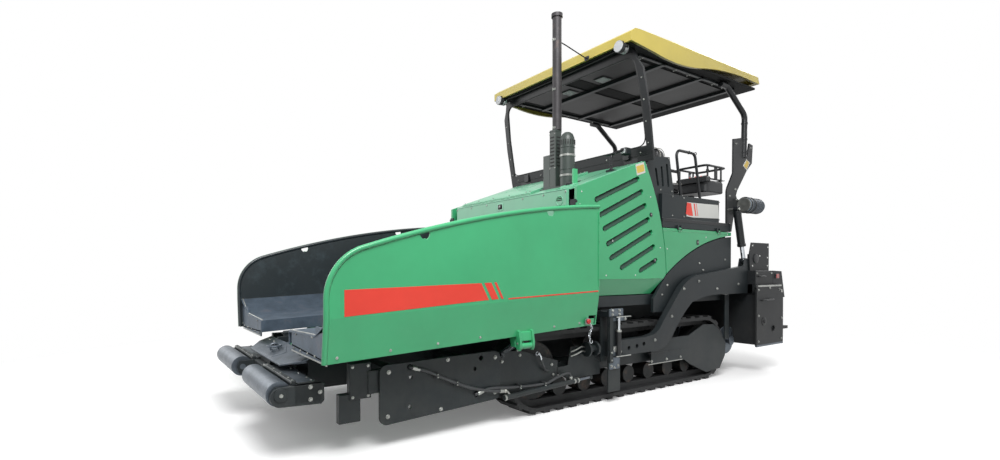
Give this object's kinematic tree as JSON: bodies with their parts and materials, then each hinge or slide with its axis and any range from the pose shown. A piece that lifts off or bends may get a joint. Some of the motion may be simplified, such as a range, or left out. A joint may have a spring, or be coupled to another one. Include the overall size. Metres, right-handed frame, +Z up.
{
  "type": "asphalt paver on tracks",
  "caption": "Tracked asphalt paver with folding hopper wings, slat conveyors, louvred engine cover, roofed twin-seat station and a screed on long tow arms.",
  "frame": {"origin": "under the middle of the machine, on the ground", "axes": "+Z up, the machine faces -Y, +X is its left side"},
  "size_m": [3.08, 6.96, 4.2921],
  "materials": {
    "green_paint": "satin",
    "dark_paint": "satin",
    "black_paint": "satin",
    "canopy_cream": "gloss",
    "dark_plastic": "matte",
    "worn_steel": "worn",
    "track_steel": "matte",
    "chrome": "polished",
    "seat_leather": "matte",
    "engine_iron": "matte"
  },
  "bodies": {
    "chassis": {"canopy": "canopy_cream", "canopy_lamps": "dark_plastic", "canopy_liner": "dark_plastic", "console": "dark_plastic", "conveyors": "worn_steel", "engine_block": "engine_iron", "exhaust_casing": "black_paint", "exhaust_pipe": "black_paint", "fenders": "dark_paint", "front_apron": "green_paint", "front_frame": "black_paint", "handrails": "black_paint", "hood": "green_paint", "main_frame": "dark_paint", "platform": "dark_paint", "rear_body": "dark_paint", "rear_hoops": "black_paint", "seat_left": "seat_leather", "seat_right": "seat_leather", "side_plates": "black_paint", "station_sides": "dark_plastic", "tow_guides": "dark_paint", "track_frame_left": "dark_paint", "track_frame_right": "dark_paint", "track_left": "track_steel", "track_right": "track_steel", "track_wheels_left": "track_steel", "track_wheels_right": "track_steel"},
    "side_door_left": {"side_door_left": "green_paint"},
    "rear_flap_left": {"rear_flap_left": "green_paint"},
    "wing_left": {"wing_left": "green_paint"},
    "wing_barrel_left": {"wing_barrel_left": "black_paint"},
    "wing_rod_left": {"wing_rod_left": "chrome"},
    "auger_left": {"auger_left": "track_steel"},
    "lift_barrel_left": {"lift_barrel_left": "black_paint"},
    "lift_rod_left": {"lift_rod_left": "chrome"},
    "push_roller_left": {"push_roller_left": "green_paint"},
    "side_door_right": {"side_door_right": "green_paint"},
    "rear_flap_right": {"rear_flap_right": "green_paint"},
    "wing_right": {"wing_right": "green_paint"},
    "wing_barrel_right": {"wing_barrel_right": "black_paint"},
    "wing_rod_right": {"wing_rod_right": "chrome"},
    "auger_right": {"auger_right": "track_steel"},
    "lift_barrel_right": {"lift_barrel_right": "black_paint"},
    "lift_rod_right": {"lift_rod_right": "chrome"},
    "push_roller_right": {"push_roller_right": "green_paint"},
    "push_beam": {"push_beam": "dark_paint"},
    "screed": {"screed": "dark_paint", "tow_arms": "green_paint", "end_plates": "dark_paint"}
  },
  "joints": [
    {"name": "side_door_left_hinge", "type": "hinge", "parent": "chassis", "child": "side_door_left", "pos_m": [1.203, -0.508, 1.7], "axis": [0, 0, -1], "range_deg": [0, 90]},
    {"name": "rear_flap_left_hinge", "type": "hinge", "parent": "chassis", "child": "rear_flap_left", "pos_m": [1.211, 1.65, 1.884], "axis": [0, -1, 0], "range_deg": [0, 85]},
    {"name": "wing_left_fold", "type": "hinge", "parent": "chassis", "child": "wing_left", "pos_m": [0.495, -3.205, 0.745], "axis": [0, -0.9991, -0.043], "range_deg": [0, 45]},
    {"name": "wing_barrel_left_pivot", "type": "hinge", "parent": "chassis", "child": "wing_barrel_left", "pos_m": [0.64, -1.465, 0.3], "axis": [0, -0.9991, -0.043], "range_deg": [-1, 36]},
    {"name": "wing_rod_left_stroke", "type": "slide", "parent": "wing_barrel_left", "child": "wing_rod_left", "axis": [0.8685, -0.0213, 0.4952], "range_m": [-0.005, 0.372]},
    {"name": "auger_left_spin", "type": "hinge", "parent": "chassis", "child": "auger_left", "pos_m": [0.6, 2.432, 0.44], "axis": [1, 0, 0], "continuous": true},
    {"name": "lift_barrel_left_pivot", "type": "hinge", "parent": "chassis", "child": "lift_barrel_left", "pos_m": [1.253, 2.425, 2.19], "axis": [1, 0, 0], "range_deg": [-1, 2]},
    {"name": "lift_rod_left_stroke", "type": "slide", "parent": "lift_barrel_left", "child": "lift_rod_left", "axis": [0, 0.2499, -0.9683], "range_m": [-0.1, 0.31]},
    {"name": "push_roller_left_spin", "type": "hinge", "parent": "push_beam", "child": "push_roller_left", "pos_m": [0.67, -3.39, 0.505], "axis": [1, 0, 0], "continuous": true},
    {"name": "side_door_right_hinge", "type": "hinge", "parent": "chassis", "child": "side_door_right", "pos_m": [-1.203, -0.508, 1.7], "axis": [0, 0, 1], "range_deg": [0, 90]},
    {"name": "rear_flap_right_hinge", "type": "hinge", "parent": "chassis", "child": "rear_flap_right", "pos_m": [-1.211, 1.65, 1.884], "axis": [0, 1, 0], "range_deg": [0, 85]},
    {"name": "wing_right_fold", "type": "hinge", "parent": "chassis", "child": "wing_right", "pos_m": [-0.495, -3.205, 0.745], "axis": [0, 0.9991, 0.043], "range_deg": [0, 45]},
    {"name": "wing_barrel_right_pivot", "type": "hinge", "parent": "chassis", "child": "wing_barrel_right", "pos_m": [-0.64, -1.465, 0.3], "axis": [0, 0.9991, 0.043], "range_deg": [-1, 36]},
    {"name": "wing_rod_right_stroke", "type": "slide", "parent": "wing_barrel_right", "child": "wing_rod_right", "axis": [-0.8685, -0.0213, 0.4952], "range_m": [-0.005, 0.372]},
    {"name": "auger_right_spin", "type": "hinge", "parent": "chassis", "child": "auger_right", "pos_m": [-0.6, 2.432, 0.44], "axis": [1, 0, 0], "continuous": true},
    {"name": "lift_barrel_right_pivot", "type": "hinge", "parent": "chassis", "child": "lift_barrel_right", "pos_m": [-1.253, 2.425, 2.19], "axis": [1, 0, 0], "range_deg": [-1, 2]},
    {"name": "lift_rod_right_stroke", "type": "slide", "parent": "lift_barrel_right", "child": "lift_rod_right", "axis": [0, 0.2499, -0.9683], "range_m": [-0.1, 0.31]},
    {"name": "push_roller_right_spin", "type": "hinge", "parent": "push_beam", "child": "push_roller_right", "pos_m": [-0.67, -3.39, 0.505], "axis": [1, 0, 0], "continuous": true},
    {"name": "push_beam_swing", "type": "hinge", "parent": "chassis", "child": "push_beam", "pos_m": [0, -3.18, 0.5], "axis": [0, 0, 1], "range_deg": [-4, 4]},
    {"name": "screed_lift", "type": "hinge", "parent": "chassis", "child": "screed", "pos_m": [0, -0.06, 0.562], "axis": [1, 0, 0], "range_deg": [-6.2, 2]}
  ],
  "couplings": [
    {"joint": "wing_barrel_left_pivot", "follows": "wing_left_fold", "ratio": 0.7635},
    {"joint": "wing_rod_left_stroke", "follows": "wing_left_fold", "m_per_rad": 0.4671},
    {"joint": "lift_barrel_left_pivot", "follows": "screed_lift", "ratio": -0.1671},
    {"joint": "lift_rod_left_stroke", "follows": "screed_lift", "m_per_rad": -2.8166},
    {"joint": "wing_barrel_right_pivot", "follows": "wing_right_fold", "ratio": 0.7635},
    {"joint": "wing_rod_right_stroke", "follows": "wing_right_fold", "m_per_rad": 0.4671},
    {"joint": "lift_barrel_right_pivot", "follows": "screed_lift", "ratio": -0.1671},
    {"joint": "lift_rod_right_stroke", "follows": "screed_lift", "m_per_rad": -2.8166}
  ]
}
